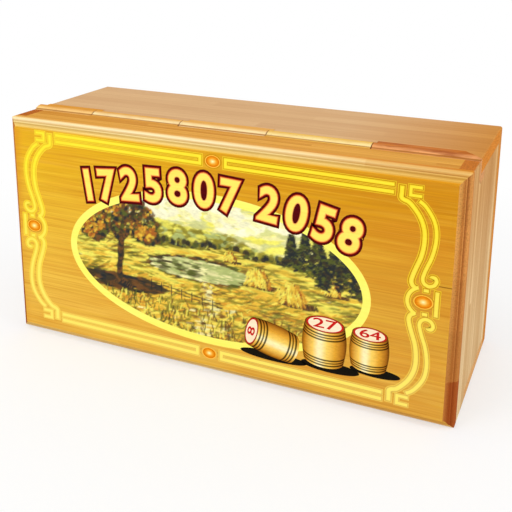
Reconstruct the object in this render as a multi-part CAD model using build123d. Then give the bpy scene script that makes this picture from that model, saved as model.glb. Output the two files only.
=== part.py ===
from build123d import *
import math
import os

# A bamboo lotto game box, standing on its long front wall as it is shown for sale.
# X runs along the hinge, -Y is the lid's printed face, +Y the base, +Z is up.
# The origin is the middle of the footprint, on the surface that the box stands on.
# All sizes are millimetres.

# Kegs: turned barrels stored in two layers, ends towards the lid
keg_columns = 9
keg_rows = 5
keg_layers = 2
keg_diameter = 21.0
keg_end_diameter = 19.0
keg_length = 25.0
keg_chamfer = 0.6
keg_groove_depth = 0.45
keg_groove_width = 0.9
keg_groove_from_end = 4.2
stow_gap = 0.3

# Cards: a stack against the base, behind the kegs
card_count = 24
card_thickness = 0.85
card_air = 0.05
card_end_room = 1.7
card_top_room = 8.0

# Divider between the kegs and the side compartment
divider_thickness = 5.0
divider_relief = 0.4
compartment_width = 39.0

# Counters: two stacks on the front wall of the side compartment
counter_stacks = 2
counter_count = 20
counter_diameter = 16.0
counter_thickness = 3.0
counter_rim = 0.5
counter_air = 0.05

# Cloth bag, rolled up above the counters
bag_length = 66.0
bag_height = 70.0
bag_side_room = 2.7
bag_corner = 10.0

# Boards of the box and its lid
lid_board_thickness = 8.0
base_board_thickness = 10.0
wall_thickness = 7.0
corner_round = 1.2
back_edge_round = 1.0

# Room left round what the box holds: over the kegs, and in front of them under the lid.
# The kegs stand out of the open box by keg_stand_out, so they can be taken hold of.
head_room = 5.2
keg_stand_out = 12.5
lid_room = 7.5

# Moulding round the lid board, as insets from its edge and depths from its face
face_inset = 5.0
face_step = 0.4
cove_inset = 2.4
cove_depth = 2.5
groove_inset = 2.0
groove_depth = 3.3
bead_depth = 7.0
cove_hollow = 0.35
bead_mid_inset = 0.32
bead_mid_depth = 4.45

# Wooden hinge: a roll of five knuckles on one pin, a little proud of the box
roll_radius = 6.5
roll_rise = 1.5
axis_setback = 1.5
turning_gap = 0.4
knuckle_gap = 0.5
lid_web_reach = 5.5
box_web_reach = 9.5
edge_ease = 1.3
left_knuckle_length = 38.0
lid_knuckle_length = 55.0
middle_knuckle_length = 50.0
right_end_mitre = 9.3
mitre_rise = 0.6

# Hinge pin
pin_diameter = 3.0
pin_end_cover = 8.0
pin_end_play = 0.3
pin_fixed_clearance = 0.01
pin_running_clearance = 0.06

# Outside sizes of the closed box, from what it holds: 250 x 126 x 98
keg_pitch = keg_diameter + stow_gap
keg_block_length = keg_columns * keg_pitch
keg_block_height = keg_rows * keg_pitch
card_stack_depth = card_count * (card_thickness + card_air)
contents_depth = stow_gap + card_stack_depth + keg_layers * (keg_length + stow_gap)
box_length = stow_gap + keg_block_length + divider_thickness + compartment_width + 2 * wall_thickness
box_height = stow_gap + keg_block_height + head_room + 2 * wall_thickness
box_wall_depth = contents_depth - keg_stand_out
lid_rail_depth = keg_stand_out + lid_room
box_depth = lid_board_thickness + lid_rail_depth + box_wall_depth + base_board_thickness

# Levels and places that follow from the sizes
half_length = box_length / 2
face_y = -box_depth / 2
board_back_y = face_y + lid_board_thickness
parting_y = board_back_y + lid_rail_depth
base_y = parting_y + box_wall_depth
back_y = base_y + base_board_thickness
inner_x = half_length - wall_thickness
floor_z = wall_thickness
ceiling_z = box_height - wall_thickness
axis_y = parting_y + axis_setback
axis_drop = roll_radius - roll_rise
axis_z = box_height - axis_drop
cove_radius = roll_radius + turning_gap
web_y = axis_y + box_web_reach
rail_edge_y = axis_y - lid_web_reach

# Where one knuckle ends and the next begins, from left to right
joint_x = [-half_length]
for length in (left_knuckle_length, lid_knuckle_length, middle_knuckle_length, lid_knuckle_length):
    joint_x.append(joint_x[-1] + length)
joint_x.append(half_length)
box_zones = [(joint_x[0], joint_x[1]), (joint_x[2], joint_x[3]), (joint_x[4], joint_x[5])]
lid_zones = [(joint_x[1], joint_x[2]), (joint_x[3], joint_x[4])]


def block(x0, x1, y0, y1, z0, z1):
    """Box between two corners."""
    return Pos((x0 + x1) / 2, (y0 + y1) / 2, (z0 + z1) / 2) * Box(x1 - x0, y1 - y0, z1 - z0)


def rod(x0, x1, radius):
    """Cylinder along the hinge axis."""
    turned = Rot(0, 90, 0) * Cylinder(radius, x1 - x0)
    return Pos((x0 + x1) / 2, axis_y, axis_z) * turned


def section_prism(points, x0, x1):
    """Prism along X of an outline given as (y, z) points."""
    outline = Polyline(*[(x0, y, z) for y, z in points], close=True)
    return extrude(make_face(outline), x1 - x0, dir=(1, 0, 0))


def body_outline():
    """Outside of the closed box with its arrises eased, which trims every outer board."""
    solid = block(-half_length, half_length, face_y, back_y, 0, box_height)
    solid = fillet(solid.edges().filter_by(Axis.Y), corner_round)
    return fillet(solid.faces().sort_by(Axis.Y)[-1].edges(), back_edge_round)


outline = body_outline()


def turning_space(x0, x1, side):
    """Room for the other leaf's knuckle: a hollow round the axis with its top arris cut back.

    side is -1 for a cut in the lid, +1 for a cut in the box.
    """
    hollow = rod(x0, x1, cove_radius)
    arris = math.sqrt(cove_radius ** 2 - axis_drop ** 2)
    top = box_height
    points = [
        (axis_y, top + 1),
        (axis_y + side * (arris + edge_ease + 1), top + 1),
        (axis_y + side * (arris + edge_ease), top),
        (axis_y + side * (arris + edge_ease / 3), top - edge_ease),
        (axis_y, top - edge_ease),
    ]
    return hollow + section_prism(points, x0, x1)


def lid_panel():
    """Lid board with a moulding cut along its four edges."""
    board = block(-half_length, half_length, face_y, board_back_y, 0, box_height) & outline
    past = wall_thickness

    def cutter(run_length):
        """Waste outside the moulding of one edge, along local X; local Y is inset, Z is depth."""
        cove = ThreePointArc(
            (0, face_inset, face_step),
            (0, (face_inset + cove_inset) / 2 + cove_hollow, (face_step + cove_depth) / 2 + cove_hollow),
            (0, cove_inset, cove_depth),
        )
        bead = ThreePointArc(
            (0, groove_inset, groove_depth),
            (0, bead_mid_inset, bead_mid_depth),
            (0, 0, bead_depth),
        )
        rest = [
            Line((0, -past, -past), (0, face_inset, -past)),
            Line((0, face_inset, -past), (0, face_inset, face_step)),
            cove,
            Line((0, cove_inset, cove_depth), (0, groove_inset, groove_depth)),
            bead,
            Line((0, 0, bead_depth), (0, -past, bead_depth)),
            Line((0, -past, bead_depth), (0, -past, -past)),
        ]
        section = make_face(Wire(rest))
        return Pos(-run_length / 2, 0, 0) * extrude(section, run_length, dir=(1, 0, 0))

    long_run = cutter(box_length + 2 * past)
    short_run = cutter(box_height + 2 * past)
    middle_z = box_height / 2
    # Each cutter's depth axis points into the board, along +Y
    placed = [
        Location(Plane(origin=(0, face_y, 0), x_dir=(-1, 0, 0), z_dir=(0, 1, 0))) * long_run,
        Location(Plane(origin=(0, face_y, box_height), x_dir=(1, 0, 0), z_dir=(0, 1, 0))) * long_run,
        Location(Plane(origin=(-half_length, face_y, middle_z), x_dir=(0, 0, 1), z_dir=(0, 1, 0))) * short_run,
        Location(Plane(origin=(half_length, face_y, middle_z), x_dir=(0, 0, -1), z_dir=(0, 1, 0))) * short_run,
    ]
    for waste in placed:
        board -= waste
    return board


def lid_hinge_rail():
    """Long rail of the lid along the hinge, seating the lid's knuckles and clearing the box's."""
    rail = block(-inner_x, inner_x, board_back_y, parting_y, ceiling_z, box_height)
    for x0, x1 in lid_zones:
        rail -= block(x0, x1, rail_edge_y, axis_y + roll_radius, ceiling_z - 1, box_height + 1)
        rail -= rod(x0, x1, roll_radius)
    for x0, x1 in box_zones:
        rail -= turning_space(x0, x1, -1)
    return rail


def lid_front_rail():
    """Long rail of the lid opposite the hinge."""
    return block(-inner_x, inner_x, board_back_y, parting_y, 0, floor_z)


def lid_side_rail(side):
    """Short rail of the lid, covering the ends of both long rails."""
    x0, x1 = sorted((side * inner_x, side * half_length))
    rail = block(x0, x1, board_back_y, parting_y, 0, box_height) & outline
    return rail - turning_space(x0 - 1, x1 + 1, -1)


def lid_knuckle(x0, x1):
    """Knuckle glued to the lid's hinge rail; it turns on the pin."""
    x0 += knuckle_gap / 2
    x1 -= knuckle_gap / 2
    knuckle = rod(x0, x1, roll_radius)
    knuckle += block(x0, x1, rail_edge_y, axis_y, ceiling_z, box_height)
    return knuckle - rod(x0 - 1, x1 + 1, pin_diameter / 2 + pin_running_clearance)


def mitre_corner():
    """Plan of the wall's corner that laps the right end of the roll."""
    return [
        (half_length - right_end_mitre, web_y),
        (half_length, web_y),
        (half_length, parting_y),
    ]


def mitre_prism():
    """The lapped corner as a full-thickness prism."""
    points = [(x, y, ceiling_z) for x, y in mitre_corner()]
    plan = make_face(Polyline(*points, close=True))
    return extrude(plan, wall_thickness, dir=(0, 0, 1))


def mitre_bevel():
    """Waste above the sloping end of the roll, rising from the mitre line."""
    (ax, ay), _, (cx, cy) = mitre_corner()
    run = math.hypot(cx - ax, cy - ay)
    along = ((cx - ax) / run, (cy - ay) / run, 0)
    away = (along[1], -along[0], 0)
    normal = (-mitre_rise * away[0], -mitre_rise * away[1], 1)
    slope = Plane(origin=((ax + cx) / 2, (ay + cy) / 2, box_height), x_dir=along, z_dir=normal)
    reach = 4 * run
    return Location(slope) * Pos(0, 0, reach / 2) * Box(reach, reach, reach)


def box_knuckle(x0, x1):
    """Knuckle glued to the hinge wall, with a web as thick as the wall."""
    left_end = x0 == joint_x[0]
    right_end = x1 == joint_x[-1]
    x0 += 0 if left_end else knuckle_gap / 2
    x1 -= 0 if right_end else knuckle_gap / 2
    knuckle = rod(x0, x1, roll_radius)
    knuckle += block(x0, x1, axis_y, web_y, ceiling_z, box_height)
    # The end knuckles fill the notch in the side wall under them
    if left_end:
        knuckle += block(-half_length, -inner_x, axis_y, web_y, axis_z - roll_radius, box_height)
    if right_end:
        knuckle += block(inner_x, half_length, axis_y, web_y, axis_z - roll_radius, box_height)
        knuckle = knuckle - mitre_prism() - mitre_bevel()
    hole_x0 = max(x0 - 1, pin_x0 - pin_end_play)
    hole_x1 = min(x1 + 1, pin_x1 + pin_end_play)
    return knuckle - rod(hole_x0, hole_x1, pin_diameter / 2 + pin_fixed_clearance)


pin_x0 = -half_length + pin_end_cover
pin_x1 = half_length - right_end_mitre - pin_end_cover


def hinge_pin():
    """Steel rod through all the knuckles, hidden by the two end ones."""
    return chamfer(rod(pin_x0, pin_x1, pin_diameter / 2).edges(), 0.4)


def hinge_wall():
    """Long wall that carries the hinge; it covers the ends of the side walls."""
    wall = block(-half_length, half_length, web_y, base_y, ceiling_z, box_height)
    for x0, x1 in lid_zones:
        wall += block(x0, x1, axis_y, web_y, ceiling_z, box_height) - turning_space(x0, x1, 1)
    wall += mitre_prism()
    return wall & outline


def front_wall():
    """Long wall opposite the hinge, on which the box stands."""
    return block(-half_length, half_length, parting_y, base_y, 0, floor_z) & outline


def side_wall(side):
    """Short wall between the long ones, notched for the end of the roll."""
    x0, x1 = sorted((side * inner_x, side * half_length))
    wall = block(x0, x1, parting_y, base_y, floor_z, ceiling_z)
    notch_z = axis_z - roll_radius
    return wall - block(x0 - 1, x1 + 1, parting_y - 1, web_y, notch_z, ceiling_z + 1)


def base_panel():
    """Board that closes the box, opposite the lid."""
    return block(-half_length, half_length, base_y, back_y, 0, box_height) & outline


keg_block_x0 = -inner_x + stow_gap
divider_x0 = keg_block_x0 + keg_block_length
divider_x1 = divider_x0 + divider_thickness
card_front_y = base_y - stow_gap - card_stack_depth


def divider():
    """Upright board that keeps the kegs apart from the side compartment."""
    board = block(divider_x0, divider_x1, parting_y, base_y, floor_z, ceiling_z)
    relief = roll_radius + divider_relief
    return board - block(divider_x0 - 1, divider_x1 + 1, parting_y - 1, axis_y + relief,
                         axis_z - relief, ceiling_z + 1)


def keg():
    """One turned keg, along +Z from its end face, with two grooves near each end."""
    end_r = keg_end_diameter / 2
    mid_r = keg_diameter / 2
    side = ThreePointArc((end_r, 0, keg_chamfer), (mid_r, 0, keg_length / 2),
                         (end_r, 0, keg_length - keg_chamfer))
    rest = [
        Line((0, 0, 0), (end_r - keg_chamfer, 0, 0)),
        Line((end_r - keg_chamfer, 0, 0), (end_r, 0, keg_chamfer)),
        side,
        Line((end_r, 0, keg_length - keg_chamfer), (end_r - keg_chamfer, 0, keg_length)),
        Line((end_r - keg_chamfer, 0, keg_length), (0, 0, keg_length)),
        Line((0, 0, keg_length), (0, 0, 0)),
    ]
    half_section = make_face(Wire(rest))
    bulge = side.radius
    for z in (keg_groove_from_end, keg_groove_from_end + 2 * keg_groove_width):
        for groove_z in (z, keg_length - z):
            drop = bulge - math.sqrt(bulge ** 2 - (groove_z - keg_length / 2) ** 2)
            surface = mid_r - drop
            notch = Polyline((surface + 1, 0, groove_z - keg_groove_width),
                             (surface - keg_groove_depth, 0, groove_z),
                             (surface + 1, 0, groove_z + keg_groove_width), close=True)
            half_section -= make_face(notch)
    return revolve(half_section, Axis.Z)


def keg_column(index):
    """One upright column of kegs, two deep, as ten separate solids."""
    lying = Rot(90, 0, 0) * keg()
    x = keg_block_x0 + keg_pitch * index + keg_diameter / 2
    kegs = []
    for layer in range(keg_layers):
        y = card_front_y - stow_gap - layer * (keg_length + stow_gap)
        for row in range(keg_rows):
            z = floor_z + stow_gap + keg_diameter / 2 + row * keg_pitch
            kegs.append(Pos(x, y, z) * lying)
    return Compound(children=kegs)


def card_stack():
    """The playing cards, standing on their long edges against the base."""
    cards = []
    for index in range(card_count):
        y1 = base_y - stow_gap - index * (card_thickness + card_air)
        cards.append(block(keg_block_x0, divider_x0 - card_end_room, y1 - card_thickness, y1,
                           floor_z, ceiling_z - card_top_room))
    return Compound(children=cards)


def counters():
    """Two stacks of round counters lying side by side."""
    disc = fillet(Cylinder(counter_diameter / 2, counter_thickness).edges(), counter_rim)
    lying = Rot(90, 0, 0) * disc
    stacked = []
    for stack in range(counter_stacks):
        x = divider_x1 + stow_gap + counter_diameter / 2 + stack * (counter_diameter + stow_gap)
        for index in range(counter_count):
            y = base_y - stow_gap - counter_thickness / 2 - index * (counter_thickness + counter_air)
            stacked.append(Pos(x, y, floor_z + counter_diameter / 2) * lying)
    return Compound(children=stacked)


def bag():
    """Rolled-up cloth bag, as a plain rounded solid."""
    x0 = divider_x1 + stow_gap
    z0 = floor_z + counter_diameter + stow_gap
    y1 = base_y - stow_gap
    x1 = inner_x - bag_side_room
    solid = block(x0, x1, y1 - bag_length, y1, z0, z0 + bag_height)
    return fillet(solid.edges().filter_by(Axis.Y), bag_corner)


parts = {
    "base_panel": base_panel(),
    "front_wall": front_wall(),
    "hinge_wall": hinge_wall(),
    "left_wall": side_wall(-1),
    "right_wall": side_wall(1),
    "box_knuckle_left": box_knuckle(*box_zones[0]),
    "box_knuckle_middle": box_knuckle(*box_zones[1]),
    "box_knuckle_right": box_knuckle(*box_zones[2]),
    "hinge_pin": hinge_pin(),
    "divider": divider(),
    "lotto_cards": card_stack(),
    "counters": counters(),
    "keg_bag": bag(),
    "lid_panel": lid_panel(),
    "lid_hinge_rail": lid_hinge_rail(),
    "lid_front_rail": lid_front_rail(),
    "lid_left_rail": lid_side_rail(-1),
    "lid_right_rail": lid_side_rail(1),
    "lid_knuckle_left": lid_knuckle(*lid_zones[0]),
    "lid_knuckle_right": lid_knuckle(*lid_zones[1]),
}
for column in range(keg_columns):
    parts[f"kegs_column_{column + 1}"] = keg_column(column)

os.makedirs("parts", exist_ok=True)
for name, shape in parts.items():
    export_step(shape, f"parts/{name}.step")
print("hinge axis y, z:", axis_y, axis_z)
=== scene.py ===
import bmesh
import bpy
import math
import numpy as np
import random
from mathutils import Matrix, Vector
from mathutils.geometry import tessellate_polygon


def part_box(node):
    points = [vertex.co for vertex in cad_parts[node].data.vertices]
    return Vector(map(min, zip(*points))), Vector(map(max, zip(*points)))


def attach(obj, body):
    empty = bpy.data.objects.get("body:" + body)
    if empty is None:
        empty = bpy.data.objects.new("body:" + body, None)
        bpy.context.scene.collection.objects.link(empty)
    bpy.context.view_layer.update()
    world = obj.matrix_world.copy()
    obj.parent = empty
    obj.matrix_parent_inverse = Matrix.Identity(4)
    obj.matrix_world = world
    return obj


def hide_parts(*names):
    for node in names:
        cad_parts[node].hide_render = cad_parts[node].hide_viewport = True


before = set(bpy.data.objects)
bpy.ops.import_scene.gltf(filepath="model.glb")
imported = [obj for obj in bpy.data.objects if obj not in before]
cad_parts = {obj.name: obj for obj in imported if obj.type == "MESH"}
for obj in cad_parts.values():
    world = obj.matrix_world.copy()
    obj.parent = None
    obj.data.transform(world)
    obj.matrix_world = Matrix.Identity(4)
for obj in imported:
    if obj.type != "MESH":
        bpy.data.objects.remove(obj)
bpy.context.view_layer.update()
bpy.context.scene.view_settings.view_transform = "Standard"
MM = 0.001


def colour(red, green, blue):
    """Linear colour of an sRGB one given from 0 to 255."""
    linear = []
    for value in (red, green, blue):
        value /= 255
        linear.append(value / 12.92 if value <= 0.04045 else ((value + 0.055) / 1.055) ** 2.4)
    return (*linear, 1)


WHITE = (255, 255, 255)
# What the lacquer keeps of its shine, so that the bamboo's own colour shows
SPECULAR = 0.0
COAT = 0.05


class Nodes:
    """A node tree being written; each call adds a node and returns its output."""

    def __init__(self, tree):
        self.tree = tree
        tree.nodes.clear()

    def put(self, socket, value):
        """Links an output, or sets a number, or a colour given from 0 to 255."""
        if isinstance(value, bpy.types.NodeSocket):
            self.tree.links.new(value, socket)
        else:
            socket.default_value = colour(*value) if socket.type == "RGBA" else value

    def whole(self, kind, inputs=(), **settings):
        made = self.tree.nodes.new("ShaderNode" + kind)
        for key, value in settings.items():
            setattr(made, key, value)
        for key, value in dict(inputs).items():
            self.put(made.inputs[key], value)
        return made

    def node(self, kind, inputs=(), output=0, **settings):
        return self.whole(kind, inputs, **settings).outputs[output]

    def math(self, operation, *numbers):
        return self.node("Math", dict(enumerate(numbers)), operation=operation)

    def times(self, a, b):
        return self.math("MULTIPLY", a, b)

    def apart(self, a, b):
        return self.math("ABSOLUTE", self.math("SUBTRACT", a, b))

    def ramp(self, value, low, high, to_low=0.0, to_high=1.0):
        return self.node("MapRange", {"Value": value, 1: low, 2: high, 3: to_low, 4: to_high})

    def mix(self, share, a, b, blend="MIX"):
        return self.node("Mix", {0: share, 6: a, 7: b}, output=2, data_type="RGBA", blend_type=blend)

    def tinted(self, a, b):
        return self.mix(1.0, a, b, "MULTIPLY")

    def shaded(self, base, tint, value, low, high, to_low=0.0, to_high=1.0):
        """The base with as much of the tint as the value says on its way from low to high."""
        return self.mix(self.ramp(value, low, high, to_low, to_high), base, tint)

    def grey(self, value):
        return self.node("CombineColor", {0: value, 1: value, 2: value})

    def seen_plainly(self):
        """1 where the camera looks, directly or by way of a glossy or a clear surface."""
        rays = self.whole("LightPath").outputs
        seen = self.math("MAXIMUM", rays["Is Camera Ray"], rays["Is Glossy Ray"])
        return self.math("MAXIMUM", seen, rays["Is Transmission Ray"])


class Recipe(Nodes):
    """A finish being written, on object coordinates."""

    def __init__(self, name):
        self.material = bpy.data.materials.new(name)
        self.material.use_nodes = True
        super().__init__(self.material.node_tree)
        self.shader = self.whole("BsdfPrincipled")
        self.end = self.whole("OutputMaterial", {0: self.shader.outputs[0]})

    def place(self, scale=(1, 1, 1), offset=(0, 0, 0)):
        """Object coordinates in millimetres, stretched by scale."""
        coordinates = self.node("TexCoord", output="Object")
        stretch = [1000 * s for s in scale]
        return self.node("Mapping", {"Vector": coordinates, "Scale": stretch, "Location": offset})

    def axes(self):
        """Object coordinates in millimetres as three numbers."""
        return self.whole("SeparateXYZ", {0: self.place()}).outputs

    def normal(self):
        return self.whole("SeparateXYZ", {0: self.node("NewGeometry", output="Normal")}).outputs

    def noise(self, scale, detail=2, offset=(0, 0, 0), roughness=0.5):
        place = self.place(scale, offset)
        return self.node("TexNoise", {"Vector": place, "Scale": 1, "Detail": detail, "Roughness": roughness})

    def cells(self, scale, offset=(0, 0, 0)):
        return self.node("TexVoronoi", {"Vector": self.place(scale, offset), "Scale": 1})

    def strip_shade(self, number):
        return self.node("TexWhiteNoise", {"W": number}, noise_dimensions="1D")

    def finish(self, base, roughness, coat=0.0, coat_roughness=0.1, bump=None, strength=0.1, depth=0.1,
               metal=0.0):
        self.put(self.shader.inputs["Base Color"], base)
        self.put(self.shader.inputs["Roughness"], roughness)
        for socket, value in (("Specular IOR Level", SPECULAR), ("Coat Weight", coat * COAT),
                              ("Coat Roughness", coat_roughness), ("Metallic", metal)):
            self.shader.inputs[socket].default_value = value
        if bump is not None:
            height = self.node("Bump", {"Height": bump, "Strength": strength, "Distance": depth * MM})
            self.put(self.shader.inputs["Normal"], height)
        return self.material


GRAINS = {"X": 0, "Y": 1, "Z": 2}
STRIP_SHADES = 0.37
BAND_SHADES = 0.45
FIBRE_SHADES = 0.5
HAIR_BROWN = (150, 88, 34)
GLUE_BROWN = (120, 72, 30)
CUT_END = (176, 112, 62)


def stretched(grain, beside, along):
    """Scale of a noise that runs along the fibres."""
    scale = [beside] * 3
    scale[GRAINS[grain]] = along
    return scale


def bamboo_tone(recipe, grain, across, lamella, run, light, dark, seed, contrast=1.0):
    """Laminated bamboo: strips glued side by side, each its own shade, with fibres along the grain."""
    axes = recipe.axes()
    along, beside = axes[GRAINS[grain]], axes[GRAINS[across]]
    strip = recipe.math("ADD", recipe.math("DIVIDE", beside, lamella), seed * 7.31)
    number = recipe.math("FLOOR", strip)
    shift = recipe.times(recipe.strip_shade(number), 19.0)
    length = recipe.math("FLOOR", recipe.math("ADD", recipe.math("DIVIDE", along, run), shift))
    pair = recipe.node("CombineXYZ", {0: number, 1: length})
    shade = recipe.node("TexWhiteNoise", {"Vector": pair}, noise_dimensions="2D")
    fibre = recipe.noise(stretched(grain, 3.4, 0.03), 3, (seed, seed * 2, seed * 3), 0.6)
    band = recipe.noise(stretched(grain, 0.5, 0.012), 2, (seed * 5, seed, seed * 4))
    tone = recipe.math("MULTIPLY_ADD", shade, STRIP_SHADES, recipe.times(band, BAND_SHADES))
    tone = recipe.math("MULTIPLY_ADD", fibre, FIBRE_SHADES, tone)
    base = recipe.shaded(light, dark, tone, 0.30, 1.0 / contrast)
    hairs = recipe.noise(stretched(grain, 6.0, 0.015), 2, (seed, 9, seed), 0.7)
    base = recipe.shaded(base, HAIR_BROWN, hairs, 0.52, 0.78, 0.0, 0.55 * contrast)
    # A hairline of glue between two strips
    seam = recipe.math("PINGPONG", strip, 0.5)
    return recipe.shaded(base, GLUE_BROWN, seam, 0.0, 0.12 / lamella, 0.28 * contrast, 0.0), fibre


def end_grain(recipe, grain, base, tint, seed):
    """Where a face cuts across the fibres it is darker and dotted."""
    facing = recipe.ramp(recipe.math("ABSOLUTE", recipe.normal()[GRAINS[grain]]), 0.55, 0.9)
    dots = recipe.ramp(recipe.cells((1.6, 1.6, 1.6), (seed, 0, 0)), 0.15, 0.6, 0.55, 1.1)
    return recipe.mix(facing, base, recipe.tinted(tint, recipe.grey(dots)))


def bamboo(name, grain, across, light, dark, seed, lamella, run, contrast=1.0, end=CUT_END, deepening=None,
           roughness=0.36, coat=0.35):
    """Lacquered bamboo board with its fibres along one axis; ripened is (axis, from, to, tint there)."""
    recipe = Recipe(name)
    base, fibre = bamboo_tone(recipe, grain, across, lamella, run, light, dark, seed, contrast)
    base = end_grain(recipe, grain, base, end, seed)
    # Where given, the colour deepens along one axis towards the tint
    if deepening:
        axis, low, high, tint = deepening
        base = recipe.tinted(base, recipe.shaded(WHITE, tint, recipe.axes()[axis], low, high))
    rough = recipe.ramp(fibre, 0.2, 0.8, roughness - 0.06, roughness + 0.08)
    return recipe.finish(base, rough, coat, 0.12, fibre, 0.12, 0.08)


def dress(node, material):
    """Gives a carried-over node its material."""
    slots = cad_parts[node].data.materials
    slots.clear()
    slots.append(material)


# Light and dark shades of the boards
TAN = (214, 166, 108), (178, 122, 66)
SIDE = (252, 233, 188), (204, 167, 117)
TOP = (229, 190, 141), (207, 161, 116)
RAIL = (246, 187, 88), (208, 140, 54)
RAIL_END = (186, 104, 40)
# Where a board's colour deepens: axis, from and to in mm, and its tint there
DEEPER_RIGHT = (0, 50.0, 123.0, (243, 209, 148))
DEEPER_ABOVE = (2, 32.0, 108.0, (237, 212, 182))
# Boards of the box and lid: name, grain, across it, shades, seed, a strip's width and length, contrast,
# end grain, where its colour deepens, roughness and coat
BOARDS = {
    "hinge_wall": ("top board", "X", "Y", *TOP, 3.0, 9.0, 400.0, 0.9, (220, 162, 100), DEEPER_RIGHT,
                   0.45, 0.1),
    "right_wall": ("right board", "Z", "Y", *SIDE, 1.0, 6.5, 500.0, 1.35, CUT_END, DEEPER_ABOVE),
    "left_wall": ("left board", "Z", "Y", *SIDE, 5.0, 5.2, 500.0, 1.25, CUT_END, DEEPER_ABOVE),
    "front_wall": ("lower board", "X", "Y", *TAN, 6.0, 9.0, 400.0, 1.0, (216, 164, 106)),
    "base_panel": ("base board", "X", "Z", *TOP, 7.0, 11.0, 190.0, 0.8, (216, 166, 108), DEEPER_RIGHT),
    "divider": ("divider", "Z", "Y", *TAN, 8.0, 6.0, 500.0),
    "lid_hinge_rail": ("upper rail", "X", "Y", *RAIL, 9.0, 2.6, 330.0, 1.1, RAIL_END),
    "lid_front_rail": ("lower rail", "X", "Y", *RAIL, 10.0, 2.6, 330.0, 1.1, RAIL_END),
    "lid_left_rail": ("left rail", "Z", "Y", *SIDE, 11.0, 4.4, 500.0, 1.2, (202, 126, 60), DEEPER_ABOVE),
    "lid_right_rail": ("right rail", "Z", "Y", *SIDE, 12.0, 4.4, 500.0, 1.2, (216, 144, 70), DEEPER_ABOVE),
}
for board, (name, *grain) in BOARDS.items():
    dress(board, bamboo(name + " bamboo", *grain))

KNUCKLE_FOOT = 126.05


def knuckle_wood(name, seed, crest, front, mark, blotch, fleck=0.5):
    """Turned stick of the hinge roll: its crest in painted shade and its front side in a painted highlight,
    with blotches and pores, and a painted shadow line along its foot.
    """
    recipe = Recipe(name)
    # Painted light: the front side gets a painted highlight and the crest painted shade
    turned = recipe.ramp(recipe.normal()[1], -0.5, -0.08, 1.0, 0.0)
    fibre = recipe.noise((0.035, 2.6, 2.6), 3, (seed, seed * 2, 1), 0.6)
    broad = recipe.noise((0.05, 0.22, 0.22), 3, (seed * 3, 4, seed), 0.6)
    base = recipe.mix(turned, crest, front)
    base = recipe.shaded(base, mark, broad, 0.45, 0.7, 0.0, blotch)
    base = recipe.shaded(base, mark, fibre, 0.35, 0.75, 0.0, 0.4)
    pores = recipe.cells((0.35, 1.4, 1.4), (seed, 2, 3))
    base = recipe.shaded(base, (120, 66, 26), pores, 0.04, 0.16, fleck, 0.0)
    base = end_grain(recipe, "X", base, (206, 146, 92), seed)
    # Painted shadow line along the foot of the stick's front side, where it meets the rail
    painted_foot_shadow = recipe.ramp(recipe.apart(recipe.axes()[2], KNUCKLE_FOOT), 0.1, 0.45, 0.9, 0.0)
    base = recipe.mix(recipe.times(painted_foot_shadow, turned), base, (168, 104, 38))
    return recipe.finish(base, recipe.ramp(fibre, 0.2, 0.8, 0.26, 0.38), 0.9, 0.1, fibre, 0.15, 0.08)


# The five sticks: seed, crest in painted shade, front side in a painted highlight, markings, how blotched and
# how flecked
KNUCKLES = {
    "box_knuckle_left": (21, (226, 158, 60), (255, 218, 142), (206, 124, 40), 0.35),
    "lid_knuckle_left": (22, (232, 172, 84), (255, 240, 184), (214, 150, 70), 0.45),
    "box_knuckle_middle": (23, (232, 172, 84), (255, 240, 184), (216, 150, 66), 0.35),
    "lid_knuckle_right": (24, (238, 190, 90), (255, 238, 172), (222, 172, 78), 0.45, 0.8),
    "box_knuckle_right": (25, (206, 120, 42), (250, 180, 116), (150, 68, 26), 0.7, 0.6),
}
for knuckle, wood in KNUCKLES.items():
    dress(knuckle, knuckle_wood(knuckle.replace("_", " ") + " wood", *wood))


def pin_steel():
    recipe = Recipe("drawn steel wire")
    scratch = recipe.noise((0.2, 9, 9), 2)
    rough = recipe.ramp(scratch, 0.3, 0.7, 0.25, 0.4)
    return recipe.finish((190, 190, 192), rough, bump=scratch, metal=1.0)


dress("hinge_pin", pin_steel())


# Moulding round the lid board: mm behind the face, and the colour along and across the grain, which is the
# wood's own with painted highlights and painted shade lines over the profile
MOULDING = [(0.3, (238, 184, 44), (210, 152, 76)), (1.0, (241, 192, 62), (206, 147, 76)),
            (1.4, (245, 212, 112), (205, 145, 75)), (1.9, (250, 230, 150), (202, 142, 72)),
            (2.4, (218, 186, 108), (178, 112, 52)), (2.8, (255, 242, 180), (204, 140, 72)),
            (3.3, (214, 176, 108), (152, 88, 38)), (3.9, (255, 242, 198), (196, 132, 68)),
            (5.0, (250, 214, 142), (206, 142, 76)), (6.0, (230, 168, 80), (196, 130, 66)),
            (7.4, (236, 174, 80), (188, 122, 60))]
FACE_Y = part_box("lid_panel")[0][1]
LID_STRIPS = ("X", "Z", 5.5, 230.0)
# Heights on the lid board: its middle, the top of its redder foot strip and the open joint in its face
BOARD_MIDDLE = 63.0
FOOT_STRIP = 24.6
FACE_JOINT = 72.4
# How much further across than up from the middle the moulding's mitres run
MITRE = 62.0
BOARD_BACK = 7.9


def moulding_shades(recipe, share, which):
    """Colours over the moulding's profile, with their painted highlights and shade; which is 1 along the
    grain and 2 across it.
    """
    ramp = recipe.whole("ValToRGB", {0: share})
    stops = ramp.color_ramp.elements
    first, last = MOULDING[0][0], MOULDING[-1][0]
    while len(stops) < len(MOULDING):
        stops.new(0.5)
    for stop, row in zip(stops, MOULDING):
        stop.position = (row[0] - first) / (last - first)
        stop.color = colour(*row[which])
    return ramp.outputs[0]


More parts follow.
